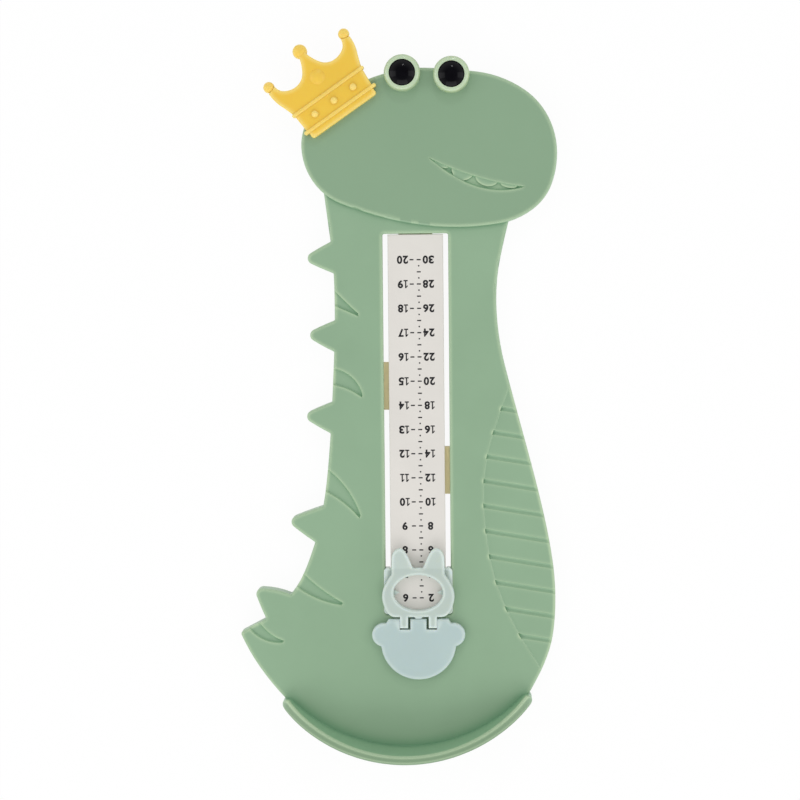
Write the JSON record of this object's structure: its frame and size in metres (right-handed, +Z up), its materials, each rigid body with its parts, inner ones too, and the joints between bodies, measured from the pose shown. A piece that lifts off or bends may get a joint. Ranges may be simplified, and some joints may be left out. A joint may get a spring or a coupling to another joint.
{
  "type": "child foot measuring gauge",
  "caption": "Flat dinosaur-shaped foot gauge with a curved heel cup, a centimetre scale, and a sliding reading frame that carries a hinged toe stop.",
  "frame": {"origin": "the zero of the scale (the heel line) on the slot's centre line, on the plane that the gauge stands on", "axes": "+Y along the slot from the heel cup towards the head, +X to the belly side, +Z up through the top face"},
  "size_m": [0.1322, 0.3003, 0.0236],
  "materials": {
    "green_plastic": "satin sage green",
    "ivory_plastic": "matte ivory with printed black scale",
    "mint_plastic": "satin pale mint",
    "pale_mint_plastic": "glossy pale mint",
    "yellow_plastic": "satin golden yellow",
    "black_plastic": "glossy black",
    "zinc_steel": "zinc plated"
  },
  "bodies": {
    "plate": {"body_plate": "green_plastic", "scale_strip": "ivory_plastic", "crown": "yellow_plastic", "eye_ring_left": "pale_mint_plastic", "eye_ring_right": "pale_mint_plastic", "eye_pupil_left": "black_plastic", "eye_pupil_right": "black_plastic", "strip_screw_1": "zinc_steel", "strip_screw_2": "zinc_steel", "strip_screw_3": "zinc_steel", "strip_screw_4": "zinc_steel", "strip_screw_5": "zinc_steel", "strip_screw_6": "zinc_steel"},
    "reading_frame": {"slider": "mint_plastic"},
    "flap": {"toe_flap": "mint_plastic"}
  },
  "joints": [
    {"name": "slider_slide", "type": "slide", "parent": "plate", "child": "reading_frame", "axis": [0, 1, 0], "range_m": [0, 0.1376]},
    {"name": "flap_hinge", "type": "hinge", "parent": "reading_frame", "child": "flap", "pos_m": [0, 0.0503, 0.0088], "axis": [-1, 0, 0], "range_deg": [0, 90]}
  ]
}
